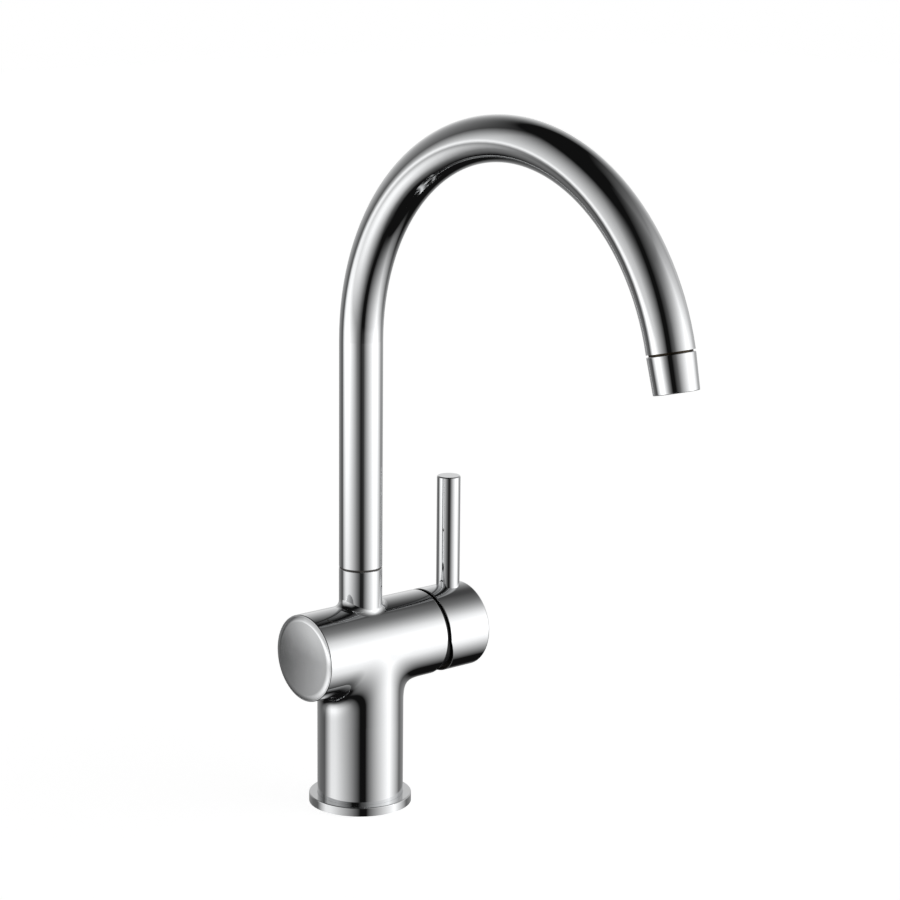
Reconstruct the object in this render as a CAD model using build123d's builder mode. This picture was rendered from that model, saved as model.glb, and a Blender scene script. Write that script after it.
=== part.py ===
from build123d import *
import os
from math import asin, cos, degrees, radians, sin, sqrt, tan

# Kitchen tap with one side lever, a high arched swivel spout and a second, separate waterway for
# filtered water. Millimetres, +Z up. The origin is on the worktop, on the axis of the column.
# The spout reaches towards -Y, and the barrel lies along X with the lever at its +X end.

os.makedirs("parts", exist_ok=True)

# ---------------------------------------------------------------------------------------------
# Driving dimensions
# ---------------------------------------------------------------------------------------------

# Clearances
push_gap = 0.05             # between pieces that are pushed or screwed together
running_gap = 0.08          # between pieces that turn or slide in each other
free_gap = 0.5              # round pieces that must never rub

# Deck ring and its gasket
ring_overhang = 4.3         # beyond the column
ring_height = 4.6
ring_edge = 0.5             # rounding of the ring's upper edge
ring_lip = 2.0              # height of the inner lip that the column stands on
gasket_width = 3.0
gasket_depth = 1.2
gasket_inset = 1.6          # from the ring's outside to the gasket

# Column
column_wall = 3.0
manifold_drop = 34.5        # from the barrel's axis down to the underside of the inlet block
column_blend = 8.0          # fillet from the column into the barrel

# Inlets and fixing stud, under the inlet block
inlet_d = 10.0              # M10 x 1 hose tails
inlet_depth = 12.0
inlet_edge = 2.4            # from the column's inside to an inlet
stud_d = 8.0                # M8 fixing stud
stud_depth = 12.0

# Barrel: its diameter and its length to the right follow the cartridge that it holds
barrel_wall = 3.15          # metal round the cartridge's nut
barrel_step = 0.4           # how much wider the barrel is than the column
barrel_height = 82.5        # its axis above the worktop
barrel_left = 36.3          # from the column's axis to the plain end
barrel_edge = 0.6

# Blanking plug in the plain end
plug_rim = 0.8              # width of the barrel's rim round the plug
plug_head = 2.8
plug_dome_r = 320.0         # its face is slightly domed
plug_edge_r = 8.0           # and rolls over at its edge
plug_edge_slope = 22.0      # as steep as this at the rim
plug_step = 2.5             # from the plug's head down to its spigot
plug_length = 12.0
plug_wall = 4.0
plug_recess = 0.1           # how far the edge of the plug's face lies behind the rim
plug_seal = 1.8             # thickness of its O-ring

# Waterways
drilling_d = 5.0            # up from the inlets
port_d = 4.4
mixed_riser_d = 4.0         # up to the spout's socket
port_wall = 3.0             # metal left round the waterways
side_port_drop = 2.5        # hot and cold ports below the barrel's axis
side_port_offset = 2.0      # hot and cold ports nearer the axis than their inlets
low_port_drop = 8.3         # filtered inlet port below the barrel's axis
high_port_rise = 8.5        # filtered outlet port above the barrel's axis
riser_inset = 0.25          # mixed waterway inside the edge of the spout socket's floor

waterway_rib = 0.97         # metal between the mixed and the filtered waterway under the socket

# Spout socket in the stub on top of the barrel
stub_rise = 41.3            # from the barrel's axis up to the spout's seam
stub_blend = 3.5            # fillet from the stub into the barrel
stub_edge = 0.3
socket_depth = 25.8
stop_screw_d = 4.0
stop_point_d = 2.6
stop_drop = 9.5             # from the seam down to the stop screw
stop_depth = 1.2            # depth of the stop groove in the spout's foot
swivel_limit = 60.0         # to each side

# Cartridge
chamber_d = 35.2
nut_shoulder = 1.45         # step from the chamber out to the nut's thread
seat_wall = 2.7             # metal between the spout socket and the cartridge
base_thickness = 4.0
port_seal = 1.1             # thickness of the seals round the ports
port_seal_edge = 0.15       # from a port to its seal
peg_d = 3.0
peg_length = 2.5
peg_spread = 10.0           # pegs to each side of the barrel's axis
peg_rise = 8.0              # and above it
housing_wall = 2.5
fixed_disc_thickness = 3.5
moving_disc_thickness = 3.5
moving_disc_rim = 2.0       # room for its travel inside the housing
lapped_gap = 0.05           # water film between the two ceramic discs
disc_pocket_d = 7.0
disc_pocket_depth = 1.6
driver_rim = 3.0            # the same room for the driver
driver_height = 5.78
driver_floor = 1.2
carrier_flange = 1.4
carrier_neck_d = 22.0
nut_length = 5.2
nut_setback = 2.7           # from the barrel's end to the nut
nut_notches = 6
nut_notch = 4.0             # width of each notch for the spanner
nut_notch_depth = 1.5
cover_step = 0.2            # from the nut's thread in to the cover's tube
cover_wall = 1.2
cover_nose = 5.5            # how far the cover reaches past the lever's pivot

# Lever
tilt_limit = 12.0           # lever upright, shut, to fully open
pivot_setout = 0.5          # pivot of the lever beyond the barrel's end
pivot_pin_d = 3.0
pin_inset = 0.3             # of its ends, below the carrier's surface
stem_size = 8.0             # square bar
stem_back = 4.0             # square length behind the pivot
stem_arm_d = 4.0
stem_ball_d = 5.8
stem_grip = 11.0            # length of the stem in the handle
handle_gap = 2.0            # seam between the barrel and the handle
handle_length = 26.5
handle_wall = 0.85          # at its rim
skirt_gap = 0.3             # between the cover and the handle's skirt
handle_edge = 1.2
handle_rim_edge = 0.4
wedge_angle = 18.5          # the rim's lower half is cut back at this angle
lever_pin_d = 12.2
lever_pin_rise = 58.3       # above the handle
lever_pin_inset = 10.2      # from the handle's end to the pin's axis
lever_pin_seat = 5.0        # depth of the pin in the handle
lever_pin_edge = 0.5
lever_thread_d = 8.0
lever_thread_depth = 9.0
grub_screw_d = 5.0
grub_screw_length = 12.0

# Spout
spout_d = 22.0
spout_wall = 1.5
riser_length = 116.7        # from the seam up to the arch's springing
arch_radius = 109.0         # to the middle of the tube
arch_angle = 166.5
glide_thickness = 1.0
foot_grip = 14.0            # length of the foot inside the tube
foot_wall = 2.42
foot_clear = 1.0            # between the foot and the socket's floor
foot_seal = 1.44            # thickness of its O-rings
foot_seal_inset = 4.0       # from the foot's lower end and from the seam to each O-ring
water_tube_d = 6.0
water_tube_wall = 1.0
water_tube_plug = 4.7       # depth of the tube's end in its own socket

# Outlet
sleeve_length = 18.0
sleeve_seam = 0.9
sleeve_taper = 0.6          # how much narrower its end is, on each side
sleeve_edge = 0.4
sleeve_wall = 2.0           # down to its thread
sleeve_lip = 1.9
sleeve_lip_width = 1.0
bush_grip = 6.0             # length of the bush inside the tube
bush_thread = 6.0
bush_wall = 2.0
bush_collar_inset = 1.1     # of the collar that shows in the seam, from the spout's outside
aerator_gasket_thickness = 1.8
aerator_gasket_width = 2.5
aerator_hole_d = 1.3
aerator_rings = [(4.3, 12), (2.8, 16), (1.4, 20)]    # distance inside the thread, number of holes
nozzle_collar = 3.5
nozzle_collar_wall = 1.4
nozzle_grip = 3.0           # length of the filtered tube's end in the nozzle
nozzle_wall = 1.1
nozzle_proud = 0.6          # how far the nozzle stands out of the aerator

# ---------------------------------------------------------------------------------------------
# Places worked out from them
# ---------------------------------------------------------------------------------------------

nut_thread_r = chamber_d / 2 + nut_shoulder
barrel_r = nut_thread_r + barrel_wall
column_r = barrel_r - barrel_step / 2
hose_bore_r = column_r - column_wall
ring_r = column_r + ring_overhang
spout_r = spout_d / 2
tube_bore_r = spout_r - spout_wall
thread_r = spout_r - sleeve_wall
drilling_r = drilling_d / 2
port_r = port_d / 2
mixed_riser_r = mixed_riser_d / 2
water_tube_r = water_tube_d / 2
socket_r = water_tube_r + running_gap + waterway_rib + mixed_riser_d + riser_inset

barrel = Plane(origin=(0, 0, barrel_height), x_dir=(0, 1, 0), z_dir=(1, 0, 0))
barrel_axis = Axis((0, 0, barrel_height), (1, 0, 0))
inlet_circle_r = hose_bore_r - inlet_d / 2 - inlet_edge

# Ports on the cartridge seat, as (y, z) from the barrel's axis
side_port = inlet_circle_r - side_port_offset
hot_port = (-side_port, -side_port_drop)
cold_port = (side_port, -side_port_drop)
filtered_port = (0, -low_port_drop)
mixed_outlet_port = (0, 0)
filtered_outlet_port = (0, high_port_rise)
ports = [hot_port, cold_port, filtered_port, mixed_outlet_port, filtered_outlet_port]
mixed_riser_x = -(socket_r - mixed_riser_r - riser_inset)

# Stations along X
plug_bore_end = -(inlet_circle_r + drilling_r + port_wall)
seat = socket_r + seat_wall
discs = seat + base_thickness
moving_disc_at = discs + fixed_disc_thickness + lapped_gap
driver_at = moving_disc_at + moving_disc_thickness
driver_end = driver_at + driver_height
carrier_at = driver_end + 3 * running_gap
housing_front = carrier_at + carrier_flange + running_gap + housing_wall
nut_at = housing_front + push_gap
barrel_right = nut_at + nut_length + nut_setback
pivot = barrel_right + pivot_setout
cover_at = nut_at + nut_length + push_gap
cover_end = pivot + cover_nose
carrier_end = cover_end - free_gap
ball = driver_at + driver_floor + stem_ball_d / 2 + 2 * running_gap
lower_arm = pivot - ball
disc_travel = lower_arm * radians(tilt_limit)
disc_rest = -disc_travel / 2

# Handle: its hollow clears the cover's rim at full tilt
cover_tube_r = nut_thread_r - cover_step
cover_bore_r = cover_tube_r - cover_wall
skirt_r = barrel_r - handle_wall
cover_r = skirt_r - skirt_gap
cover_rim_r = sqrt(cover_r ** 2 - cover_nose ** 2)
handle_rim = barrel_right + handle_gap
handle_end = handle_rim + handle_length
handle_floor = (pivot + cover_nose * cos(radians(tilt_limit))
                + cover_rim_r * sin(radians(tilt_limit)) + 2 * free_gap)
stem_end = handle_floor + stem_grip
lever_pin_x = handle_end - lever_pin_inset

# Heights
manifold_height = barrel_height - manifold_drop
stub_top = barrel_height + stub_rise
socket_floor = stub_top - socket_depth
stop_height = stub_top - stop_drop
riser_top = stub_top + riser_length
stub_seam = stub_top + glide_thickness
foot_bottom = socket_floor + foot_clear
water_tube_bottom = socket_floor - water_tube_plug
water_tube_reach = bush_thread + aerator_gasket_thickness - nozzle_collar + nozzle_grip - push_gap
barrel_top = barrel_height + barrel_r

print("centre of the lever's pivot", (pivot, 0, barrel_height))
print("ceramic disc travel per radian of tilt", lower_arm, "and in all", disc_travel)


# ---------------------------------------------------------------------------------------------
# Shapes that repeat: each adds to, or cuts, the part that is being built
# ---------------------------------------------------------------------------------------------

def rod(plane, start, end, radius, at=(0, 0)):
    """A round bar from start to end along the plane's normal."""
    with BuildSketch(plane.offset(start)) as outline:
        with Locations(at):
            Circle(radius)
    extrude(outline.sketch, amount=end - start)


def bore(plane, start, end, radius, at=(0, 0)):
    """A round hole from start to end along the plane's normal."""
    with BuildSketch(plane.offset(start)) as outline:
        with Locations(at):
            Circle(radius)
    extrude(outline.sketch, amount=end - start, mode=Mode.SUBTRACT)


def seal_groove(plane, middle, width, outer_r, depth):
    """A square groove round the outside of a turned piece."""
    with BuildSketch(plane.offset(middle - width / 2)) as outline:
        Circle(outer_r + free_gap)
        Circle(outer_r - depth, mode=Mode.SUBTRACT)
    extrude(outline.sketch, amount=width, mode=Mode.SUBTRACT)


def seal_ring(plane, middle, thickness, outer_r):
    """An O-ring whose outside has the given radius."""
    with Locations(plane.offset(middle)):
        Torus(outer_r - thickness / 2, thickness / 2)


# ---------------------------------------------------------------------------------------------
# Body: one brass casting, machined, polished and chromed
# ---------------------------------------------------------------------------------------------

with BuildPart() as body:
    # Outside: column, barrel and stub, blended into each other
    rod(Plane.XY, ring_lip, barrel_height, column_r)
    rod(barrel, -barrel_left, barrel_right, barrel_r)
    fillet(body.edges().filter_by(GeomType.BSPLINE), column_blend)
    barrel_ends = body.edges().filter_by(GeomType.CIRCLE).group_by(Axis.X)
    fillet(barrel_ends[0] + barrel_ends[-1], barrel_edge)
    rod(Plane.XY, barrel_height, stub_top, spout_r)
    fillet(body.edges().filter_by(GeomType.BSPLINE).sort_by(Axis.Z)[-1], stub_blend)
    fillet(body.edges().filter_by(GeomType.CIRCLE).sort_by(Axis.Z)[-1], stub_edge)

    # Hollow column, with the inlets and the stud hole in the block above it
    bore(Plane.XY, ring_lip, manifold_height, hose_bore_r)
    inlet_top = manifold_height + inlet_depth
    for place in ((0, -inlet_circle_r), (0, inlet_circle_r), (-inlet_circle_r, 0)):
        bore(Plane.XY, manifold_height, inlet_top, inlet_d / 2, place)
    bore(Plane.XY, manifold_height, manifold_height + stud_depth, stud_d / 2, (inlet_circle_r, 0))

    # Waterways: up from each inlet, then along X to the cartridge seat
    for x, port in ((0, hot_port), (0, cold_port), (-inlet_circle_r, filtered_port)):
        drilling_top = barrel_height + port[1] + drilling_r
        bore(Plane.XY, inlet_top, drilling_top, drilling_r, (x, port[0]))
        bore(barrel, x, seat, port_r, port)

    # Spout socket, fed by the mixed outlet beside the filtered outlet in its middle
    bore(Plane.XY, socket_floor, stub_top, socket_r)
    bore(Plane.XY, water_tube_bottom - free_gap, socket_floor, water_tube_r + running_gap)
    filtered_height = barrel_height + high_port_rise
    bore(Plane.XY, filtered_height, water_tube_bottom, water_tube_r - water_tube_wall)
    bore(barrel, -port_r, seat, port_r, filtered_outlet_port)
    bore(Plane.XY, barrel_height, socket_floor, mixed_riser_r, (mixed_riser_x, 0))
    bore(barrel, mixed_riser_x - port_r, seat, port_r, mixed_outlet_port)
    bore(Plane.XZ.offset(-spout_r - free_gap), 0, spout_r, stop_screw_d / 2, (0, stop_height))

    # Cartridge chamber at the lever's end, plug bore at the plain end
    bore(barrel, seat, barrel_right, chamber_d / 2)
    bore(barrel, nut_at - push_gap, barrel_right, nut_thread_r)
    for side in (-1, 1):
        bore(barrel, seat - peg_length - free_gap, seat, peg_d / 2 + push_gap,
             (side * peg_spread, peg_rise))
    bore(barrel, -barrel_left, plug_bore_end, barrel_r - plug_rim - plug_step)
    bore(barrel, -barrel_left, plug_head + plug_recess - barrel_left, barrel_r - plug_rim)
body.part.label = "body"

# ---------------------------------------------------------------------------------------------
# Foot of the column: chromed ring and the gasket let into its underside
# ---------------------------------------------------------------------------------------------

gasket_r = ring_r - gasket_inset

with BuildPart() as base_ring:
    rod(Plane.XY, 0, ring_height, ring_r)
    fillet(base_ring.edges().sort_by(Axis.Z)[-1], ring_edge)
    bore(Plane.XY, 0, ring_height, hose_bore_r)
    bore(Plane.XY, ring_lip, ring_height, column_r + push_gap)
    with BuildSketch(Plane.XY):
        Circle(gasket_r)
        Circle(gasket_r - gasket_width, mode=Mode.SUBTRACT)
    extrude(amount=gasket_depth, mode=Mode.SUBTRACT)
base_ring.part.label = "base_ring"

with BuildPart() as base_gasket:
    rod(Plane.XY, 0, gasket_depth, gasket_r - push_gap)
    bore(Plane.XY, 0, gasket_depth, gasket_r - gasket_width + push_gap)
base_gasket.part.label = "base_gasket"

# ---------------------------------------------------------------------------------------------
# Plain end of the barrel: chromed blanking plug and its O-ring
# ---------------------------------------------------------------------------------------------

plug_face = plug_recess - barrel_left
plug_shoulder = plug_face + plug_head
plug_end = plug_face + plug_length
plug_r = barrel_r - plug_rim - push_gap
plug_spigot_r = plug_r - plug_step
plug_seal_at = (plug_shoulder + plug_end) / 2

with BuildPart() as end_plug:
    with BuildSketch(Plane.XZ):
        with BuildLine():
            edge = radians(plug_edge_slope)
            roll = asin((plug_r - plug_edge_r * sin(edge)) / (plug_dome_r - plug_edge_r))
            edge_x = plug_face + plug_edge_r * cos(edge)
            edge_z = barrel_height + plug_r - plug_edge_r * sin(edge)
            dome_x = edge_x + (plug_dome_r - plug_edge_r) * cos(roll)
            dome = CenterArc((dome_x, barrel_height), plug_dome_r, 180, -degrees(roll))
            CenterArc((edge_x, edge_z), plug_edge_r, 180 - degrees(roll),
                      degrees(roll) - plug_edge_slope)
            Polyline((plug_face, barrel_height + plug_r), (plug_shoulder, barrel_height + plug_r),
                     (plug_shoulder, barrel_height), dome @ 0)
        make_face()
    revolve(axis=barrel_axis)
    rod(barrel, plug_shoulder, plug_end, plug_spigot_r)
    bore(barrel, plug_shoulder, plug_end, plug_spigot_r - plug_wall)
    seal_groove(barrel, plug_seal_at, plug_seal + 2 * push_gap, plug_spigot_r, plug_seal)
end_plug.part.label = "end_plug"

with BuildPart() as end_plug_oring:
    seal_ring(barrel, plug_seal_at, plug_seal, plug_spigot_r)
end_plug_oring.part.label = "end_plug_oring"

# ---------------------------------------------------------------------------------------------
# Ceramic cartridge, the parts that stand still
# ---------------------------------------------------------------------------------------------

cartridge_r = chamber_d / 2 - 2 * push_gap
housing_bore_r = cartridge_r - housing_wall
neck_r = carrier_neck_d / 2
port_seal_r = port_r + port_seal_edge + port_seal / 2
seal_recess_r = port_seal_r + port_seal / 2 + push_gap

with BuildPart() as cartridge_base:
    rod(barrel, seat, discs, cartridge_r)
    for port in ports:
        bore(barrel, seat, discs, port_r, port)
        bore(barrel, seat, seat + port_seal, seal_recess_r, port)
    for side in (-1, 1):
        rod(barrel, seat - peg_length, seat, peg_d / 2, (side * peg_spread, peg_rise))
cartridge_base.part.label = "cartridge_base"

with BuildPart() as port_seals:
    for port in ports:
        with Locations(barrel.offset(seat + port_seal / 2)):
            with Locations(port):
                Torus(port_seal_r, port_seal / 2)
port_seals.part.label = "port_seals"

with BuildPart() as cartridge_housing:
    rod(barrel, discs, housing_front, cartridge_r)
    bore(barrel, discs, housing_front - housing_wall, housing_bore_r)
    bore(barrel, discs, housing_front, neck_r + running_gap)
cartridge_housing.part.label = "cartridge_housing"

with BuildPart() as fixed_ceramic_disc:
    rod(barrel, discs, discs + fixed_disc_thickness, housing_bore_r - push_gap)
    for port in ports:
        bore(barrel, discs, discs + fixed_disc_thickness, port_r, port)
fixed_ceramic_disc.part.label = "fixed_ceramic_disc"

with BuildPart() as cartridge_nut:
    rod(barrel, nut_at, nut_at + nut_length, nut_thread_r - push_gap)
    bore(barrel, nut_at, nut_at + nut_length, neck_r + free_gap)
    notch_length = cover_bore_r - neck_r
    with BuildSketch(barrel.offset(nut_at + nut_length)):
        with PolarLocations(neck_r + notch_length / 2, nut_notches):
            Rectangle(notch_length, nut_notch)
    extrude(amount=-nut_notch_depth, mode=Mode.SUBTRACT)
cartridge_nut.part.label = "cartridge_nut"

# Cover over the nut: a short tube in the barrel's end, and outside it a zone of a ball round the
# lever's pivot, so that the handle's skirt can tilt over it
with BuildPart() as cartridge_cover:
    zone_r = cover_r - cover_wall
    zone_at = barrel_right + push_gap - pivot
    outer_from, outer_to = [degrees(asin(x / cover_r)) for x in (zone_at, cover_nose)]
    inner_from, inner_to = [degrees(asin(x / zone_r)) for x in (zone_at + cover_wall,
                                                                cover_nose - cover_wall)]
    ball_centre = (pivot, barrel_height)
    cover_hole = barrel_height + neck_r + free_gap
    with BuildSketch(Plane.XZ):
        with BuildLine():
            outer_zone = CenterArc(ball_centre, cover_r, 90 - outer_from, outer_from - outer_to)
            inner_zone = CenterArc(ball_centre, zone_r, 90 - inner_from, inner_from - inner_to)
            Polyline(outer_zone @ 1, (cover_end, cover_hole),
                     (cover_end - cover_wall, cover_hole), inner_zone @ 1)
            Polyline(inner_zone @ 0, (pivot + zone_at + cover_wall, barrel_height + cover_bore_r),
                     (cover_at, barrel_height + cover_bore_r),
                     (cover_at, barrel_height + cover_tube_r),
                     (pivot + zone_at, barrel_height + cover_tube_r), outer_zone @ 0)
        make_face()
    revolve(axis=barrel_axis)
cartridge_cover.part.label = "cartridge_cover"

# ---------------------------------------------------------------------------------------------
# Ceramic cartridge, the parts that turn with the lever
# ---------------------------------------------------------------------------------------------

stem_half = stem_size / 2
tilt = radians(tilt_limit)
slot_reach = max(carrier_end - pivot, stem_back)
slot_half = stem_half * cos(tilt) + slot_reach * sin(tilt) + free_gap

with BuildPart() as cartridge_carrier:
    rod(barrel, carrier_at, carrier_at + carrier_flange, housing_bore_r - 2 * running_gap)
    rod(barrel, carrier_at, carrier_end, neck_r)
    with BuildSketch(barrel.offset(carrier_at)):
        Rectangle(stem_size + free_gap, 2 * slot_half)
    extrude(amount=carrier_end - carrier_at, mode=Mode.SUBTRACT)
    with BuildSketch(Plane.XZ):
        with Locations((pivot, barrel_height)):
            Circle(pivot_pin_d / 2 + push_gap)
    extrude(amount=neck_r, both=True, mode=Mode.SUBTRACT)
cartridge_carrier.part.label = "cartridge_carrier"

with BuildPart() as stem_pivot_pin:
    with BuildSketch(Plane.XZ):
        with Locations((pivot, barrel_height)):
            Circle(pivot_pin_d / 2)
    extrude(amount=neck_r - pin_inset, both=True)
stem_pivot_pin.part.label = "stem_pivot_pin"

# The driver takes the ball of the stem and pushes the ceramic disc across its neighbour
with BuildPart() as moving_ceramic_disc:
    rod(barrel, moving_disc_at, driver_at, housing_bore_r - moving_disc_rim, (0, disc_rest))
    bore(barrel, moving_disc_at, moving_disc_at + disc_pocket_depth, disc_pocket_d / 2)
moving_ceramic_disc.part.label = "moving_ceramic_disc"

with BuildPart() as disc_driver:
    rod(barrel, driver_at, driver_end, housing_bore_r - driver_rim, (0, disc_rest))
    bore(barrel, driver_at + driver_floor, driver_end, stem_ball_d / 2 + running_gap)
disc_driver.part.label = "disc_driver"

# ---------------------------------------------------------------------------------------------
# Lever: stem, chromed handle, pin and the screw that locks the handle to the stem
# ---------------------------------------------------------------------------------------------

with BuildPart() as lever_stem:
    with BuildSketch(barrel.offset(pivot - stem_back)):
        Rectangle(stem_size, stem_size)
    extrude(amount=stem_end - pivot + stem_back)
    rod(barrel, ball, pivot - stem_back, stem_arm_d / 2)
    with Locations((ball, 0, barrel_height)):
        Sphere(stem_ball_d / 2)
    with BuildSketch(Plane.XZ):
        with Locations((pivot, barrel_height)):
            Circle(pivot_pin_d / 2 + running_gap)
    extrude(amount=stem_size, both=True, mode=Mode.SUBTRACT)
lever_stem.part.label = "lever_stem"

pin_foot = barrel_top - lever_pin_seat
thread_foot = pin_foot - lever_thread_depth

with BuildPart() as handle_cap:
    rod(barrel, handle_rim, handle_end, barrel_r)
    handle_ends = handle_cap.edges().filter_by(GeomType.CIRCLE).group_by(Axis.X)
    fillet(handle_ends[-1], handle_edge)
    fillet(handle_ends[0], handle_rim_edge)
    bore(barrel, handle_rim, handle_floor, skirt_r)
    # The lower half of the rim is cut back, to make room for the tilt
    with BuildSketch(Plane.XZ):
        with BuildLine():
            rim_low = barrel_height - barrel_r - free_gap
            cut_back = (barrel_r + free_gap) * tan(radians(wedge_angle))
            Polyline((handle_rim, barrel_height), (handle_rim + cut_back, rim_low),
                     (handle_rim - free_gap, rim_low), (handle_rim - free_gap, barrel_height),
                     close=True)
        make_face()
    extrude(amount=barrel_r + free_gap, both=True, mode=Mode.SUBTRACT)
    with BuildSketch(barrel.offset(handle_floor)):
        Rectangle(stem_size + 2 * push_gap, stem_size + 2 * push_gap)
    extrude(amount=stem_grip + free_gap, mode=Mode.SUBTRACT)
    bore(Plane.XY, pin_foot, barrel_top + free_gap, lever_pin_d / 2 + push_gap, (lever_pin_x, 0))
    bore(Plane.XY, thread_foot, pin_foot, lever_thread_d / 2 + push_gap, (lever_pin_x, 0))
    with BuildSketch(Plane.XZ):
        with Locations((lever_pin_x, barrel_height)):
            Circle(grub_screw_d / 2 + push_gap)
    extrude(amount=-barrel_r - free_gap, mode=Mode.SUBTRACT)
handle_cap.part.label = "handle_cap"

with BuildPart() as lever_pin:
    rod(Plane.XY, pin_foot, barrel_top + lever_pin_rise, lever_pin_d / 2, (lever_pin_x, 0))
    chamfer(lever_pin.edges().sort_by(Axis.Z)[-1], lever_pin_edge)
    rod(Plane.XY, thread_foot + push_gap, pin_foot, lever_thread_d / 2, (lever_pin_x, 0))
lever_pin.part.label = "lever_pin"

# The screw bears on the side of the stem, from the back of the handle
with BuildPart() as handle_grub_screw:
    with BuildSketch(Plane.XZ.offset(-stem_half)):
        with Locations((lever_pin_x, barrel_height)):
            Circle(grub_screw_d / 2)
    extrude(amount=-grub_screw_length)
    with BuildSketch(Plane.XZ.offset(-stem_half - grub_screw_length)):
        with Locations((lever_pin_x, barrel_height)):
            RegularPolygon(grub_screw_d / 4, 6)
    extrude(amount=grub_screw_d / 2, mode=Mode.SUBTRACT)
handle_grub_screw.part.label = "handle_grub_screw"

# ---------------------------------------------------------------------------------------------
# Spout: its foot turns in the stub; a plastic tube for filtered water runs through it
# ---------------------------------------------------------------------------------------------

foot_r = socket_r - running_gap
foot_grip_r = tube_bore_r - push_gap
foot_seals = [foot_bottom + foot_seal_inset, stub_top - foot_seal_inset]

with BuildPart() as spout_glide_ring:
    rod(Plane.XY, stub_top, stub_seam, spout_r - stub_edge)
    bore(Plane.XY, stub_top, stub_seam, foot_r + push_gap)
spout_glide_ring.part.label = "spout_glide_ring"

with BuildPart() as spout_foot:
    rod(Plane.XY, foot_bottom, stub_seam, foot_r)
    rod(Plane.XY, stub_seam, stub_seam + foot_grip, foot_grip_r)
    bore(Plane.XY, foot_bottom, stub_seam + foot_grip, foot_r - foot_wall)
    for seal_height in foot_seals:
        seal_groove(Plane.XY, seal_height, foot_seal + 2 * push_gap, foot_r, foot_seal)
    # Stop groove at the back, a little longer than the swivel on each side
    groove_half = swivel_limit + degrees(asin((stop_point_d / 2 + push_gap) / (foot_r - stop_depth)))
    stop_width = stop_point_d + 2 * push_gap
    with BuildSketch(Plane.XY.offset(stop_height - stop_width / 2)):
        with BuildLine():
            outer_side = CenterArc((0, 0), foot_r + free_gap, 90 - groove_half, 2 * groove_half)
            inner_side = CenterArc((0, 0), foot_r - stop_depth, 90 - groove_half, 2 * groove_half)
            Line(outer_side @ 0, inner_side @ 0)
            Line(outer_side @ 1, inner_side @ 1)
        make_face()
    extrude(amount=stop_width, mode=Mode.SUBTRACT)
spout_foot.part.label = "spout_foot"

with BuildPart() as spout_orings:
    for seal_height in foot_seals:
        seal_ring(Plane.XY, seal_height, foot_seal, foot_r)
spout_orings.part.label = "spout_orings"

# Grub screw through the back of the stub; its point runs in the groove and holds the spout down
with BuildPart() as spout_stop_screw:
    point_end = foot_r - stop_depth + running_gap
    stop_head = spout_r - stub_edge
    with BuildSketch(Plane.XZ.offset(-point_end)):
        with Locations((0, stop_height)):
            Circle(stop_point_d / 2)
    extrude(amount=point_end - stop_head)
    with BuildSketch(Plane.XZ.offset(-socket_r)):
        with Locations((0, stop_height)):
            Circle(stop_screw_d / 2 - push_gap)
    extrude(amount=socket_r - stop_head)
    with BuildSketch(Plane.XZ.offset(-stop_head)):
        with Locations((0, stop_height)):
            RegularPolygon(stop_screw_d / 4, 6)
    extrude(amount=stop_screw_d / 3, mode=Mode.SUBTRACT)
spout_stop_screw.part.label = "spout_stop_screw"

with BuildPart() as spout_tube:
    with BuildLine(Plane.YZ):
        riser = Line((0, stub_seam), (0, riser_top))
        arch = JernArc(riser @ 1, riser % 1, arch_radius, arch_angle)
    with BuildSketch(Plane.XY.offset(stub_seam)):
        Circle(spout_r)
        Circle(tube_bore_r, mode=Mode.SUBTRACT)
    sweep()
spout_tube.part.label = "spout_tube"

# The outlet's own plane: at the arch's end, with its normal along the flow
outlet = Plane(origin=arch @ 1, x_dir=(1, 0, 0), z_dir=arch % 1)

with BuildPart() as filtered_water_tube:
    with BuildLine(Plane.YZ):
        water_riser = Line((0, water_tube_bottom), (0, riser_top))
        water_arch = JernArc(water_riser @ 1, water_riser % 1, arch_radius, arch_angle)
        Line(water_arch @ 1, water_arch @ 1 + (water_arch % 1) * water_tube_reach)
    with BuildSketch(Plane.XY.offset(water_tube_bottom)):
        Circle(water_tube_r)
        Circle(water_tube_r - water_tube_wall, mode=Mode.SUBTRACT)
    sweep()
filtered_water_tube.part.label = "filtered_water_tube"

# ---------------------------------------------------------------------------------------------
# Outlet: bush in the tube's end, chromed sleeve, aerator and the filtered water's own nozzle
# ---------------------------------------------------------------------------------------------

aerator_at = bush_thread + aerator_gasket_thickness
aerator_end = sleeve_length - sleeve_lip - push_gap
nozzle_r = water_tube_r - water_tube_wall + nozzle_wall

# The bush is straight and the tube curved, so the bush is thinner by the curve's rise over its grip
bush_ease = bush_grip ** 2 / (2 * arch_radius)

with BuildPart() as outlet_bush:
    rod(outlet, -bush_grip, 0, tube_bore_r - bush_ease - push_gap)
    rod(outlet, 0, sleeve_seam, spout_r - bush_collar_inset)
    rod(outlet, sleeve_seam, bush_thread, thread_r - push_gap)
    bore(outlet, -bush_grip, bush_thread, thread_r - bush_wall)
outlet_bush.part.label = "outlet_bush"

with BuildPart() as outlet_sleeve:
    with BuildSketch(outlet.offset(sleeve_seam)):
        Circle(spout_r)
    with BuildSketch(outlet.offset(sleeve_length)):
        Circle(spout_r - sleeve_taper)
    loft()
    fillet(outlet_sleeve.edges().filter_by(GeomType.CIRCLE), sleeve_edge)
    bore(outlet, sleeve_seam, sleeve_length - sleeve_lip, thread_r)
    bore(outlet, sleeve_length - sleeve_lip, sleeve_length, thread_r - sleeve_lip_width)
outlet_sleeve.part.label = "outlet_sleeve"

with BuildPart() as aerator_gasket:
    rod(outlet, bush_thread, aerator_at, thread_r - push_gap)
    bore(outlet, bush_thread, aerator_at, thread_r - aerator_gasket_width)
aerator_gasket.part.label = "aerator_gasket"

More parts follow.
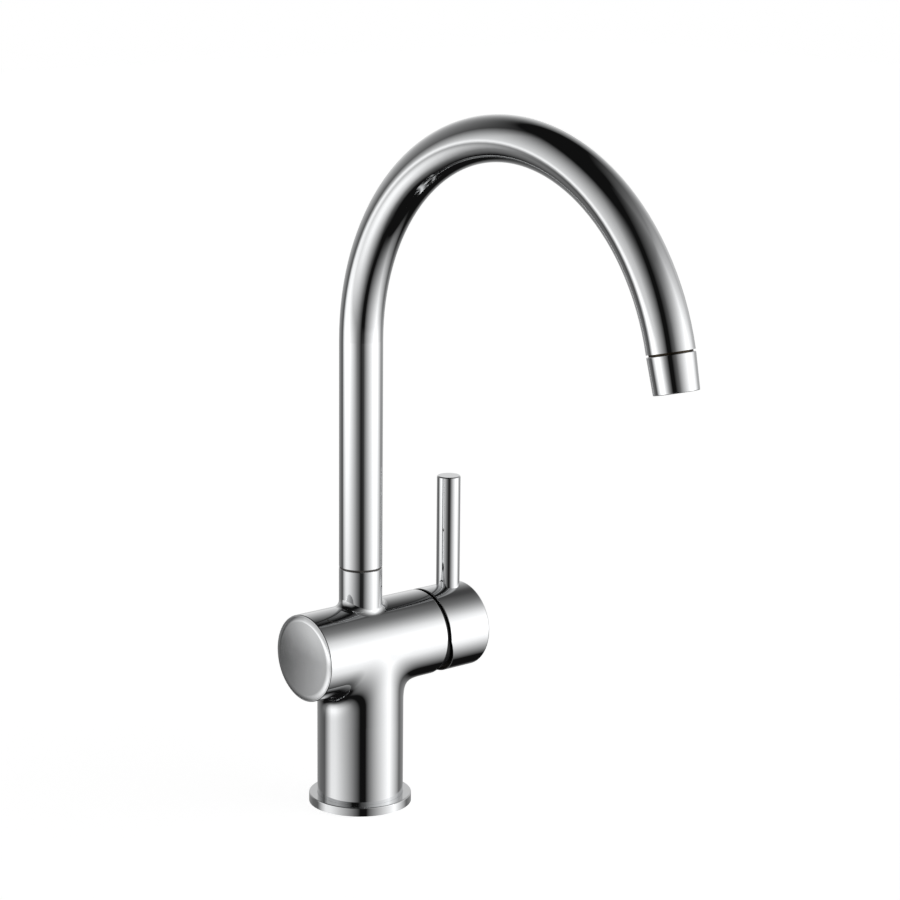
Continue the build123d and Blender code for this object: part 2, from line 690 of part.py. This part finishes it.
with BuildPart() as aerator_insert:
    rod(outlet, aerator_at, aerator_end, thread_r - push_gap)
    bore(outlet, aerator_at, aerator_end, nozzle_r + push_gap)
    for inset, holes in aerator_rings:
        with BuildSketch(outlet.offset(aerator_at)):
            with PolarLocations(thread_r - inset, holes):
                Circle(aerator_hole_d / 2)
        extrude(amount=aerator_end - aerator_at, mode=Mode.SUBTRACT)
aerator_insert.part.label = "aerator_insert"

with BuildPart() as filtered_nozzle:
    rod(outlet, aerator_at - nozzle_collar, aerator_at, water_tube_r + nozzle_collar_wall)
    rod(outlet, aerator_at, aerator_end + nozzle_proud, nozzle_r)
    bore(outlet, aerator_at - nozzle_collar, aerator_at - nozzle_collar + nozzle_grip,
         water_tube_r + push_gap)
    bore(outlet, aerator_at - nozzle_collar, aerator_end + nozzle_proud,
         water_tube_r - water_tube_wall)
filtered_nozzle.part.label = "filtered_nozzle"

pieces = [
    body, base_ring, base_gasket, end_plug, end_plug_oring,
    cartridge_base, port_seals, cartridge_housing, fixed_ceramic_disc, cartridge_nut,
    cartridge_cover, cartridge_carrier, stem_pivot_pin, moving_ceramic_disc, disc_driver,
    lever_stem, handle_cap, lever_pin, handle_grub_screw,
    spout_glide_ring, spout_foot, spout_orings, spout_stop_screw, spout_tube,
    filtered_water_tube, outlet_bush, outlet_sleeve, aerator_gasket, aerator_insert,
    filtered_nozzle,
]
for piece in pieces:
    export_step(piece.part, "parts/" + piece.part.label + ".step")
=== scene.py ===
import bmesh
import bpy
import numpy as np
from math import degrees, hypot, radians
from mathutils import Euler, Matrix


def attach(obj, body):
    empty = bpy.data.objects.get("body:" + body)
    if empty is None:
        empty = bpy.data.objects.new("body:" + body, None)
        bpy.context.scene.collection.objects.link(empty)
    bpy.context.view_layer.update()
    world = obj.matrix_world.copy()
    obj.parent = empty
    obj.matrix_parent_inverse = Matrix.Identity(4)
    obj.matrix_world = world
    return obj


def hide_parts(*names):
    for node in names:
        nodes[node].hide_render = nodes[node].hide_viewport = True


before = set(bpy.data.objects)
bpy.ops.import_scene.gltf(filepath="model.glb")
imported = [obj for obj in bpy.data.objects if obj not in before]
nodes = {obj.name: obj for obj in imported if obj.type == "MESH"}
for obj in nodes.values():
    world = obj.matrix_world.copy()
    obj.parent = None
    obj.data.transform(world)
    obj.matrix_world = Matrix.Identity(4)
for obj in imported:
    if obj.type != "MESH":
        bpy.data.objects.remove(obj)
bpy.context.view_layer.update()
bpy.ops.object.select_all(action="DESELECT")

# ---------------------------------------------------------------------------------------------
# Camera
# A long lens at bench height, in front of the tap and to its plain side, looking a little down
# on it. It leans by half a degree, as a hand-levelled tripod does.
# ---------------------------------------------------------------------------------------------

bpy.ops.object.camera_add(location=(-0.82846, -1.02883, 0.48022))
camera = bpy.context.object
camera.name = "camera"
camera.data.lens = 108
camera.data.sensor_width = 36
heading, dip, lean = 40.78, 12.61, 0.548
aim = Euler((radians(90 - dip), 0, radians(-heading))).to_matrix()
camera.rotation_euler = (aim @ Matrix.Rotation(radians(lean), 3, "Z")).to_euler()
bpy.context.scene.camera = camera

# ---------------------------------------------------------------------------------------------
# Studio
# A dark room with soft panels, white to the camera alone. Polished metal is all reflection, so
# it has two big panels beside the tap, weaker ones over and under them, and paper behind.
# ---------------------------------------------------------------------------------------------

bpy.context.scene.view_settings.view_transform = "Standard"


def linear(code):
    """An sRGB hex value as linear colour."""
    parts = [int(code[i:i + 2], 16) / 255 for i in (1, 3, 5)]
    return [p / 12.92 if p <= 0.04045 else ((p + 0.055) / 1.055) ** 2.4 for p in parts] + [1]


def node(tree, kind, inputs=(), **settings):
    """Adds a node with its settings, and with its sockets given values or linked to outputs."""
    made = tree.nodes.new(kind)
    for name, value in settings.items():
        setattr(made, name, value)
    for name, value in dict(inputs).items():
        if isinstance(value, bpy.types.NodeSocket):
            tree.links.new(value, made.inputs[name])
        else:
            made.inputs[name].default_value = value
    return made


def new_material(name):
    """A new material and its empty node tree."""
    made = bpy.data.materials.new(name)
    made.use_nodes = True
    made.node_tree.nodes.clear()
    return made, made.node_tree


studio = bpy.data.worlds.new("studio")
studio.use_nodes = True
bpy.context.scene.world = studio
sky = studio.node_tree
sky.nodes.clear()

# Azimuth and elevation of a ray in degrees: 0 is at the camera, 90 to its right, 180 behind the tap
ray = node(sky, "ShaderNodeTexCoord")
turned = node(sky, "ShaderNodeMapping", {"Vector": ray.outputs["Generated"],
                                         "Rotation": (0, 0, radians(90 + heading))})
along = node(sky, "ShaderNodeSeparateXYZ", {"Vector": turned.outputs[0]})
azimuth = node(sky, "ShaderNodeMath", {0: along.outputs["Y"], 1: along.outputs["X"]},
               operation="ARCTAN2")
azimuth = node(sky, "ShaderNodeMath", {0: azimuth.outputs[0], 1: degrees(1)}, operation="MULTIPLY")
behind = node(sky, "ShaderNodeMath", {0: azimuth.outputs[0]}, operation="ABSOLUTE")
elevation = node(sky, "ShaderNodeMath", {0: along.outputs["Z"]}, operation="ARCSINE")
elevation = node(sky, "ShaderNodeMath", {0: elevation.outputs[0], 1: degrees(1)},
                 operation="MULTIPLY")


def panel(angle, across, upright, level):
    """A soft panel: it fades in and out over two ranges across, and over two ranges upwards."""
    light = level
    for source, (start, full, fading, end) in ((angle, across), (elevation, upright)):
        for low, high, first, last in ((start, full, 0, 1), (fading, end, 1, 0)):
            fade = node(sky, "ShaderNodeMapRange", {
                "Value": source.outputs[0], "From Min": low, "From Max": high,
                "To Min": first, "To Max": last})
            light = node(sky, "ShaderNodeMath", {0: light, 1: fade.outputs[0]},
                         operation="MULTIPLY").outputs[0]
    return light


# Each panel's edges in degrees, across and upwards, and its level. A least-squares fit of the
# chrome's greys to the photograph's gave them, rounded: they hold that one picture's light. The
# camera's place and angles come from a fit too, to the tap's edges in it.
level = 0.006
for light in (
    panel(azimuth, (16, 85, 86, 130), (-67, -12, -11, 49), 1.41),         # right
    panel(azimuth, (-109, -82, -69, 2), (-58, -32, -9, -2), 0.79),        # left
    panel(azimuth, (-3, 86, 87, 158), (-18, 0, 4, 83), 0.62),             # over the right one
    panel(azimuth, (-112, -97, -62, -19), (-17, -9, -4, 53), 0.77),       # over the left one
    panel(azimuth, (-131, -94, -62, -11), (-70, -46, -26, -16), 0.32),    # under the left one
    panel(behind, (101, 180, 190, 200), (-40, 6, 7, 50), 0.83),           # paper behind the tap
):
    level = node(sky, "ShaderNodeMath", {0: level, 1: light}, operation="ADD").outputs[0]

# Only camera rays meet white paper. Reflections meet the panels and the dark between them
room = node(sky, "ShaderNodeBackground", {"Color": level, "Strength": 1.0})
paper = node(sky, "ShaderNodeBackground", {"Color": linear("#FFFFFF"), "Strength": 1.0})
path = node(sky, "ShaderNodeLightPath")
seen = node(sky, "ShaderNodeMixShader", {0: path.outputs["Is Camera Ray"],
                                         1: room.outputs[0], 2: paper.outputs[0]})
node(sky, "ShaderNodeOutputWorld", {"Surface": seen.outputs[0]})

# The table is white paper to the camera, but for the tap's soft shadow. All other rays pass
# through it, so it isn't reflected in the metal and the panels light the tap from below too
hair = 0.0003       # the table is that much under the tap's foot
bpy.ops.mesh.primitive_plane_add(size=8, location=(0, 0, -hair))
table = bpy.context.object
table.name = "table"
table_paper, tree = new_material("backlit white paper")
glow = node(tree, "ShaderNodeEmission", {"Color": linear("#FFFFFF"), "Strength": 0.9})
matt = node(tree, "ShaderNodeBsdfDiffuse", {"Color": linear("#C8C8C8")})
lit = node(tree, "ShaderNodeAddShader", {0: glow.outputs[0], 1: matt.outputs[0]})
clear = node(tree, "ShaderNodeBsdfTransparent")
path = node(tree, "ShaderNodeLightPath")
seen = node(tree, "ShaderNodeMixShader", {0: path.outputs["Is Camera Ray"],
                                          1: clear.outputs[0], 2: lit.outputs[0]})
node(tree, "ShaderNodeOutputMaterial", {"Surface": seen.outputs[0]})
table.data.materials.append(table_paper)

# ---------------------------------------------------------------------------------------------
# Body
# One brass casting: a deck column, a cross barrel and a neck for the spout, ground so that they
# run into each other with no line, then buffed and plated with nickel and bright chrome.
# ---------------------------------------------------------------------------------------------

chrome, tree = new_material("polished chrome plate")
place = node(tree, "ShaderNodeTexCoord").outputs["Object"]
# The plate is a mirror with a breath of haze, over the slow waves that the buffing wheel leaves
haze = node(tree, "ShaderNodeTexNoise", {"Vector": place, "Scale": 90.0, "Detail": 3.0})
rough = node(tree, "ShaderNodeMapRange", {"Value": haze.outputs[0], "From Min": 0.3,
                                          "From Max": 0.7, "To Min": 0.03, "To Max": 0.06})
buffed = node(tree, "ShaderNodeTexNoise", {"Vector": place, "Scale": 110.0, "Detail": 1.0})
waves = node(tree, "ShaderNodeBump", {"Height": buffed.outputs[0], "Strength": 1.0,
                                      "Distance": 0.000004})
metal = node(tree, "ShaderNodeBsdfPrincipled", {
    "Base Color": linear("#EEEFF0"), "Metallic": 1.0, "Roughness": rough.outputs[0],
    "Normal": waves.outputs[0]})
node(tree, "ShaderNodeOutputMaterial", {"Surface": metal.outputs[0]})

# In mm: the casting's own sizes, the blend's greatest width, and the patch that is reground,
# 35 to each side of the column's axis and from 45 up to 85, with a little slack at its edges
column_radius, barrel_radius, barrel_height = 22.0, 22.2, 82.5
blend_width = 14
patch_half, patch_foot, patch_top = 35.0, 45.0, 85.0
on_face, slack = 0.12, 0.01
splits, steps = 7, 6        # rounds of dividing the patch's edges, and of moving it on to the skin
# In metres: the barrel's axis, and the longest edge that the patch is left with
barrel_axis = (0, 0, barrel_height / 1000)
finest_edge = 0.0013


def skin(x, y, z):
    """How far a point in mm is outside the column and barrel, with their blend ground smooth."""
    column = np.hypot(x, y)
    barrel = np.hypot(y, z - barrel_height)
    turn = np.maximum(1 - y * y / (column * barrel), 1e-4)
    soft = blend_width * np.sqrt(turn)
    column, barrel = column - column_radius, barrel - barrel_radius
    near = np.maximum(soft - np.abs(column - barrel), 0) / soft
    return np.minimum(column, barrel) - soft * near ** 3 / 6


def slope(points):
    """The skin's gradient at points in mm, which leads outwards, and its length."""
    step = 0.01
    parts = [(skin(*(points + step * axis).T) - skin(*(points - step * axis).T)) / (2 * step)
             for axis in np.eye(3)]
    gradient = np.stack(parts, 1)
    return gradient, np.linalg.norm(gradient, axis=1, keepdims=True)


def copy_of(part, name):
    """An object of its own with a copy of a CAD part's mesh, which may be reshaped."""
    mesh = nodes[part].data.copy()
    mesh.name = name
    made = bpy.data.objects.new(name, mesh)
    bpy.context.collection.objects.link(made)
    return made, mesh


casting, mesh = copy_of("body", "body_casting")
smooth = np.empty(len(mesh.loops) * 3, "f")
mesh.corner_normals.foreach_get("vector", smooth)
mesh.attributes.new("smooth", "FLOAT_VECTOR", "CORNER").data.foreach_set("vector", smooth)

bm = bmesh.new()
bm.from_mesh(mesh)


def outside(face, margin=0.0):
    """Whether a face is on the outside of the casting, round the join of column and barrel."""
    spots = [v.co * 1000 for v in face.verts]
    return all(min(hypot(p.x, p.y) - column_radius,
                   hypot(p.y, p.z - barrel_height) - barrel_radius) > -on_face
               and abs(p.x) < patch_half + slack + margin
               and patch_foot - slack - margin < p.z < patch_top for p in spots)


# The patch is cut out of the faces round it, then divided finely and moved on to the skin
for spot, side in (((-patch_half / 1000, 0, 0), (1, 0, 0)),
                   ((patch_half / 1000, 0, 0), (1, 0, 0)),
                   ((0, 0, patch_foot / 1000), (0, 0, 1))):
    faces = [face for face in bm.faces if outside(face, 50)]
    edges = {edge for face in faces for edge in face.edges}
    points = {point for face in faces for point in face.verts}
    bmesh.ops.bisect_plane(bm, geom=[*points, *edges, *faces], plane_co=spot, plane_no=side,
                           dist=1e-6)
for _ in range(splits):
    faces = [face for face in bm.faces if outside(face)]
    bmesh.ops.triangulate(bm, faces=faces)
    edges = {edge for face in bm.faces if outside(face) for edge in face.edges
             if edge.calc_length() > finest_edge}
    bmesh.ops.subdivide_edges(bm, edges=list(edges), cuts=1)
bmesh.ops.triangulate(bm, faces=bm.faces[:])
ground = np.array([outside(face) for face in bm.faces])
bm.to_mesh(mesh)
bm.free()

corner_points = np.empty(len(mesh.loops), "i")
mesh.loops.foreach_get("vertex_index", corner_points)
moved = np.unique(corner_points.reshape(-1, 3)[ground])
points = np.empty(len(mesh.vertices) * 3, "f")
mesh.vertices.foreach_get("co", points)
points = points.reshape(-1, 3).astype("d") * 1000
for _ in range(steps):
    spots = points[moved]
    gradient, length = slope(spots)
    points[moved] = spots - skin(*spots.T)[:, None] * gradient / length ** 2
mesh.vertices.foreach_set("co", (points / 1000).astype("f").ravel())
smooth = np.empty(len(mesh.loops) * 3, "f")
mesh.attributes["smooth"].data.foreach_get("vector", smooth)
smooth = smooth.reshape(-1, 3)
on_skin = np.repeat(ground, 3)
gradient, length = slope(points[corner_points[on_skin]])
smooth[on_skin] = gradient / length
mesh.normals_split_custom_set(smooth.tolist())
mesh.attributes.remove(mesh.attributes["smooth"])
mesh.materials.clear()
mesh.materials.append(chrome)
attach(casting, "root")
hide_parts("body")

# ---------------------------------------------------------------------------------------------
# Deck ring, lever pin, spout and outlet sleeve
# Turned brass and a bent brass tube, polished and plated in the same bath as the body. The
# ring is pressed on the column's foot, the pin screwed in the handle, the sleeve on the bush.
# ---------------------------------------------------------------------------------------------


def dress(material, *parts):
    """Gives CAD parts their material."""
    for part in parts:
        nodes[part].material_slots[0].material = material


dress(chrome, "base_ring", "lever_pin", "spout_tube", "outlet_sleeve")

# ---------------------------------------------------------------------------------------------
# Blanking plug
# The domed disc that closes the barrel's left end: turned brass, plated like the body but only
# lightly buffed, so that it is a little satin. An O-ring holds it in the barrel.
# ---------------------------------------------------------------------------------------------

satin, tree = new_material("lightly buffed chrome plate")
place = node(tree, "ShaderNodeTexCoord").outputs["Object"]
haze = node(tree, "ShaderNodeTexNoise", {"Vector": place, "Scale": 160.0, "Detail": 4.0})
rough = node(tree, "ShaderNodeMapRange", {"Value": haze.outputs[0], "From Min": 0.3,
                                          "From Max": 0.7, "To Min": 0.1, "To Max": 0.15})
brushed = node(tree, "ShaderNodeTexNoise", {"Vector": place, "Scale": 1500.0, "Detail": 2.0})
marks = node(tree, "ShaderNodeBump", {"Height": brushed.outputs[0], "Distance": 0.000002})
metal = node(tree, "ShaderNodeBsdfPrincipled", {
    "Base Color": linear("#E9EAEB"), "Metallic": 1.0, "Roughness": rough.outputs[0],
    "Normal": marks.outputs[0]})
node(tree, "ShaderNodeOutputMaterial", {"Surface": metal.outputs[0]})

# The dome's face is shaded flat at its very middle, where the CAD mesh's many thin triangles
# meet with a slanted normal
plug, mesh = copy_of("end_plug", "plug")
smooth = np.array([corner.vector[:] for corner in mesh.corner_normals])
spots = np.array([mesh.vertices[loop.vertex_index].co[:] for loop in mesh.loops]) - barrel_axis
face_at, middle_radius = -0.037, 0.0005
middle = (spots[:, 0] < face_at) & (np.hypot(spots[:, 1], spots[:, 2]) < middle_radius)
smooth[middle] = (-1, 0, 0)
if "custom_normal" in mesh.attributes:
    mesh.attributes.remove(mesh.attributes["custom_normal"])
mesh.attributes.new("custom_normal", "FLOAT_VECTOR", "CORNER").data.foreach_set(
    "vector", smooth.ravel())
mesh.materials.clear()
mesh.materials.append(satin)
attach(plug, "root")
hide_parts("end_plug")

# ---------------------------------------------------------------------------------------------
# Handle
# A hollow brass cap that turns on the cartridge's stem, chromed like the body outside. Inside
# and on the cut rim it is coloured dark and left rough, which is painted shade.
# ---------------------------------------------------------------------------------------------

cap = chrome.copy()
cap.name = "polished chrome plate, painted shade inside"
tree = cap.node_tree
place = node(tree, "ShaderNodeTexCoord").outputs["Object"]
# The inside is what is nearer to the axis than the skirt's outer face, and short of the floor
skirt_radius, floor_at = 0.022, 0.0513
local = node(tree, "ShaderNodeVectorMath", {0: place, 1: barrel_axis}, operation="SUBTRACT")
across = node(tree, "ShaderNodeVectorMath", {0: local.outputs[0], 1: (0, 1, 1)},
              operation="MULTIPLY")
radius = node(tree, "ShaderNodeVectorMath", {0: across.outputs[0]}, operation="LENGTH")
length = node(tree, "ShaderNodeSeparateXYZ", {"Vector": place})
narrow = node(tree, "ShaderNodeMath", {0: radius.outputs["Value"], 1: skirt_radius},
              operation="LESS_THAN")
short = node(tree, "ShaderNodeMath", {0: length.outputs["X"], 1: floor_at},
             operation="LESS_THAN")
inside = node(tree, "ShaderNodeMath", {0: narrow.outputs[0], 1: short.outputs[0]},
              operation="MULTIPLY")
# Painted shade: inside and on the cut rim the cap is coloured a mottled dark grey-brown metal
stain_and_shade_noise = node(tree, "ShaderNodeTexNoise", {"Vector": place, "Scale": 300.0, "Detail": 4.0})
painted_shade_colour = node(tree, "ShaderNodeMix", {0: stain_and_shade_noise.outputs[0], "A": linear("#1C1B1A"),
                                    "B": linear("#3A3732")}, data_type="RGBA")
painted_shade_surface = node(tree, "ShaderNodeBsdfPrincipled", {
    "Base Color": painted_shade_colour.outputs["Result"], "Metallic": 1.0, "Roughness": 0.45})
bright = next(n for n in tree.nodes if n.type == "BSDF_PRINCIPLED" and n != painted_shade_surface)
both = node(tree, "ShaderNodeMixShader", {0: inside.outputs[0], 1: bright.outputs[0],
                                          2: painted_shade_surface.outputs[0]})
output = next(n for n in tree.nodes if n.type == "OUTPUT_MATERIAL")
tree.links.new(both.outputs[0], output.inputs["Surface"])
dress(cap, "handle_cap")

# ---------------------------------------------------------------------------------------------
# Cartridge cover
# The black moulded nose over the cartridge nut, which shows in the wedge under the handle. It
# is satin acetal from a spark-eroded mould, rubbed smoother where the handle's rim wipes it.
# ---------------------------------------------------------------------------------------------

acetal, tree = new_material("satin black acetal")
place = node(tree, "ShaderNodeTexCoord").outputs["Object"]
grain = node(tree, "ShaderNodeTexNoise", {"Vector": place, "Scale": 4000.0, "Detail": 2.0})
rubbed = node(tree, "ShaderNodeTexNoise", {"Vector": place, "Scale": 120.0, "Detail": 3.0})
rough = node(tree, "ShaderNodeMapRange", {"Value": rubbed.outputs[0], "From Min": 0.35,
                                          "From Max": 0.65, "To Min": 0.32, "To Max": 0.42})
tint = node(tree, "ShaderNodeMix", {0: rubbed.outputs[0], "A": linear("#0A0A0B"),
                                    "B": linear("#121213")}, data_type="RGBA")
texture = node(tree, "ShaderNodeBump", {"Height": grain.outputs[0], "Distance": 0.00001})
plastic = node(tree, "ShaderNodeBsdfPrincipled", {
    "Base Color": tint.outputs["Result"], "Roughness": rough.outputs[0],
    "Normal": texture.outputs[0]})
node(tree, "ShaderNodeOutputMaterial", {"Surface": plastic.outputs[0]})
dress(acetal, "cartridge_cover")

# ---------------------------------------------------------------------------------------------
# Cartridge base, housing, carrier and disc driver, aerator insert and filtered nozzle
# Grey moulded acetal, matt from the mould, with the faint flow clouds of a filled plastic. The
# cartridge is clamped by its nut, and the insert and nozzle are pushed in the outlet.
# ---------------------------------------------------------------------------------------------

grey, tree = new_material("grey moulded acetal")
place = node(tree, "ShaderNodeTexCoord").outputs["Object"]
grain = node(tree, "ShaderNodeTexNoise", {"Vector": place, "Scale": 5000.0, "Detail": 2.0})
clouds = node(tree, "ShaderNodeTexNoise", {"Vector": place, "Scale": 140.0, "Detail": 3.0,
                                           "Distortion": 1.2})
tint = node(tree, "ShaderNodeMix", {0: clouds.outputs[0], "A": linear("#84878A"),
                                    "B": linear("#96999B")}, data_type="RGBA")
rough = node(tree, "ShaderNodeMapRange", {"Value": clouds.outputs[0], "To Min": 0.42,
                                          "To Max": 0.54})
texture = node(tree, "ShaderNodeBump", {"Height": grain.outputs[0], "Distance": 0.000012})
plastic = node(tree, "ShaderNodeBsdfPrincipled", {
    "Base Color": tint.outputs["Result"], "Roughness": rough.outputs[0],
    "Normal": texture.outputs[0]})
node(tree, "ShaderNodeOutputMaterial", {"Surface": plastic.outputs[0]})
dress(grey, "cartridge_base", "cartridge_housing", "cartridge_carrier", "disc_driver",
      "aerator_insert", "filtered_nozzle")

# ---------------------------------------------------------------------------------------------
# Base gasket, plug O-ring, port seals, spout O-rings and aerator gasket
# Black EPDM rubber, moulded and packed with talc, which leaves a slightly grey, dry skin. Each
# one is squeezed between two parts, so little more than an edge of it shows.
# ---------------------------------------------------------------------------------------------

rubber, tree = new_material("black EPDM rubber")
place = node(tree, "ShaderNodeTexCoord").outputs["Object"]
talc = node(tree, "ShaderNodeTexNoise", {"Vector": place, "Scale": 350.0, "Detail": 5.0})
tint = node(tree, "ShaderNodeMix", {0: talc.outputs[0], "A": linear("#141414"),
                                    "B": linear("#2A2928")}, data_type="RGBA")
rough = node(tree, "ShaderNodeMapRange", {"Value": talc.outputs[0], "To Min": 0.55,
                                          "To Max": 0.75})
grain = node(tree, "ShaderNodeTexNoise", {"Vector": place, "Scale": 3000.0, "Detail": 2.0})
texture = node(tree, "ShaderNodeBump", {"Height": grain.outputs[0], "Distance": 0.00002})
skin_of_rubber = node(tree, "ShaderNodeBsdfPrincipled", {
    "Base Color": tint.outputs["Result"], "Roughness": rough.outputs[0],
    "Normal": texture.outputs[0]})
node(tree, "ShaderNodeOutputMaterial", {"Surface": skin_of_rubber.outputs[0]})
dress(rubber, "base_gasket", "end_plug_oring", "port_seals", "spout_orings", "aerator_gasket")

# ---------------------------------------------------------------------------------------------
# Cartridge nut, lever stem, spout foot and outlet bush
# Plain brass, turned and left unplated, with fine lathe rings. Air has dimmed it. The outlet
# bush, which shows as the line over the outlet sleeve, is painted a dark brown-grey shade.
# ---------------------------------------------------------------------------------------------


def turned(tree, centre, axis, depth, pitch=4000.0):
    """A bump of lathe marks round an axis, X or Z, of the given depth in metres."""
    place = node(tree, "ShaderNodeTexCoord").outputs["Object"]
    local = node(tree, "ShaderNodeVectorMath", {0: place, 1: centre}, operation="SUBTRACT")
    across = node(tree, "ShaderNodeVectorMath", {
        0: local.outputs[0], 1: (0, 1, 1) if axis == "X" else (1, 1, 0)}, operation="MULTIPLY")
    radius = node(tree, "ShaderNodeVectorMath", {0: across.outputs[0]}, operation="LENGTH")
    length = node(tree, "ShaderNodeSeparateXYZ", {"Vector": local.outputs[0]})
    cut = node(tree, "ShaderNodeCombineXYZ", {"X": length.outputs[axis],
                                              "Y": radius.outputs["Value"]})
    marks = node(tree, "ShaderNodeTexNoise", {"Vector": cut.outputs[0], "Scale": pitch,
                                              "Detail": 2.0})
    return node(tree, "ShaderNodeBump", {"Height": marks.outputs[0], "Distance": depth})


def brass(name, centre, axis, base_colour, cloud_colour, finish):
    """Turned brass, from base to cloud colour in soft clouds: tarnish, and painted shade on the
    bush.
    """
    metal, tree = new_material(name)
    place = node(tree, "ShaderNodeTexCoord").outputs["Object"]
    stain_and_shade_noise = node(tree, "ShaderNodeTexNoise", {"Vector": place, "Scale": 260.0, "Detail": 4.0})
    cloud_amount = node(tree, "ShaderNodeMapRange", {"Value": stain_and_shade_noise.outputs[0], "From Min": 0.35,
                                            "From Max": 0.65})
    tint = node(tree, "ShaderNodeMix", {0: cloud_amount.outputs[0], "A": linear(base_colour),
                                        "B": linear(cloud_colour)}, data_type="RGBA")
    rough = node(tree, "ShaderNodeMapRange", {"Value": cloud_amount.outputs[0], "To Min": finish,
                                              "To Max": finish + 0.12})
    marks = turned(tree, centre, axis, 0.000006, 2500.0)
    surface = node(tree, "ShaderNodeBsdfPrincipled", {
        "Base Color": tint.outputs["Result"], "Metallic": 1.0, "Roughness": rough.outputs[0],
        "Normal": marks.outputs[0]})
    node(tree, "ShaderNodeOutputMaterial", {"Surface": surface.outputs[0]})
    return metal


cross = brass("turned brass", barrel_axis, "X", "#D9BE7C", "#B7954F", 0.2)
dress(cross, "cartridge_nut", "lever_stem")
upright = brass("turned brass, upright", (0, 0, 0), "Z", "#D9BE7C", "#B7954F", 0.2)
dress(upright, "spout_foot")
# Painted shade: the outlet bush is coloured dark brown-grey to stand for the shade in the seam line
outlet_axis = (0, -0.2150, 0.266)
seam_shade_brass = brass("turned brass, painted with the seam's shade", outlet_axis, "Z", "#4E463A", "#38322B", 0.4)
dress(seam_shade_brass, "outlet_bush")

# ---------------------------------------------------------------------------------------------
# Spout glide ring
# The thin bearing ring that the spout turns on, which shows as a dark line at its foot. It is
# acetal under silicone grease, worn rougher, and painted a darker, browner grey as its seam's
# shade.
# ---------------------------------------------------------------------------------------------

bearing, tree = new_material("greased acetal, painted grey-brown shade")
place = node(tree, "ShaderNodeTexCoord").outputs["Object"]
# Painted shade: the ring's darker, browner grey stands for the shade in the seam at the spout's
# foot
grease_and_shade_mottle = node(tree, "ShaderNodeTexNoise", {"Vector": place, "Scale": 500.0, "Detail": 3.0})
tint = node(tree, "ShaderNodeMix", {0: grease_and_shade_mottle.outputs[0], "A": linear("#4E4A47"),
                                    "B": linear("#6A6663")}, data_type="RGBA")
rough = node(tree, "ShaderNodeMapRange", {"Value": grease_and_shade_mottle.outputs[0], "To Min": 0.36,
                                          "To Max": 0.54})
glide_axis = (0, 0, 0.124)
wear = turned(tree, glide_axis, "Z", 0.00001, 3000.0)
plastic = node(tree, "ShaderNodeBsdfPrincipled", {
    "Base Color": tint.outputs["Result"], "Roughness": rough.outputs[0],
    "Normal": wear.outputs[0]})
node(tree, "ShaderNodeOutputMaterial", {"Surface": plastic.outputs[0]})
dress(bearing, "spout_glide_ring")

# ---------------------------------------------------------------------------------------------
# Stem pivot pin, handle grub screw and spout stop screw
# Small stainless steel parts, the pin ground and the screws rolled. They have a fine grey
# satin, with clearer glints along their edges.
# ---------------------------------------------------------------------------------------------

steel, tree = new_material("plain stainless steel")
place = node(tree, "ShaderNodeTexCoord").outputs["Object"]
drawn = node(tree, "ShaderNodeTexNoise", {"Vector": place, "Scale": 900.0, "Detail": 4.0})
tint = node(tree, "ShaderNodeMix", {0: drawn.outputs[0], "A": linear("#A9ABAC"),
                                    "B": linear("#C6C7C8")}, data_type="RGBA")
rough = node(tree, "ShaderNodeMapRange", {"Value": drawn.outputs[0], "To Min": 0.22,
                                          "To Max": 0.38})
ground_marks = node(tree, "ShaderNodeBump", {"Height": drawn.outputs[0], "Distance": 0.000008})
metal = node(tree, "ShaderNodeBsdfPrincipled", {
    "Base Color": tint.outputs["Result"], "Metallic": 1.0, "Roughness": rough.outputs[0],
    "Normal": ground_marks.outputs[0]})
node(tree, "ShaderNodeOutputMaterial", {"Surface": metal.outputs[0]})
dress(steel, "stem_pivot_pin", "handle_grub_screw", "spout_stop_screw")

# ---------------------------------------------------------------------------------------------
# Fixed and moving ceramic discs
# Sintered alumina, nearly white. Its faces are lapped flat to a soft gloss, and it shows the
# fine specks of its grain.
# ---------------------------------------------------------------------------------------------

ceramic, tree = new_material("lapped alumina")
place = node(tree, "ShaderNodeTexCoord").outputs["Object"]
specks = node(tree, "ShaderNodeTexNoise", {"Vector": place, "Scale": 2500.0, "Detail": 4.0})
tint = node(tree, "ShaderNodeMix", {0: specks.outputs[0], "A": linear("#D9D5CA"),
                                    "B": linear("#F0EDE5")}, data_type="RGBA")
rough = node(tree, "ShaderNodeMapRange", {"Value": specks.outputs[0], "To Min": 0.1,
                                          "To Max": 0.26})
stone = node(tree, "ShaderNodeBsdfPrincipled", {
    "Base Color": tint.outputs["Result"], "Roughness": rough.outputs[0], "IOR": 1.76})
node(tree, "ShaderNodeOutputMaterial", {"Surface": stone.outputs[0]})
dress(ceramic, "fixed_ceramic_disc", "moving_ceramic_disc")

# ---------------------------------------------------------------------------------------------
# Filtered water tube
# The thin tube that keeps filtered water apart from mains water, inside the spout. It is
# extruded food-grade polyethylene: milky, waxy, with faint draw lines.
# ---------------------------------------------------------------------------------------------

tubing, tree = new_material("milky polyethylene")
place = node(tree, "ShaderNodeTexCoord").outputs["Object"]
milk = node(tree, "ShaderNodeTexNoise", {"Vector": place, "Scale": 200.0, "Detail": 2.0})
tint = node(tree, "ShaderNodeMix", {0: milk.outputs[0], "A": linear("#D8DADA"),
                                    "B": linear("#E8EAE9")}, data_type="RGBA")
rough = node(tree, "ShaderNodeMapRange", {"Value": milk.outputs[0], "To Min": 0.32,
                                          "To Max": 0.44})
plastic = node(tree, "ShaderNodeBsdfPrincipled", {
    "Base Color": tint.outputs["Result"], "Roughness": rough.outputs[0],
    "Subsurface Weight": 0.4, "Subsurface Radius": (0.001, 0.001, 0.001),
    "Subsurface Scale": 1.0})
node(tree, "ShaderNodeOutputMaterial", {"Surface": plastic.outputs[0]})
dress(tubing, "filtered_water_tube")
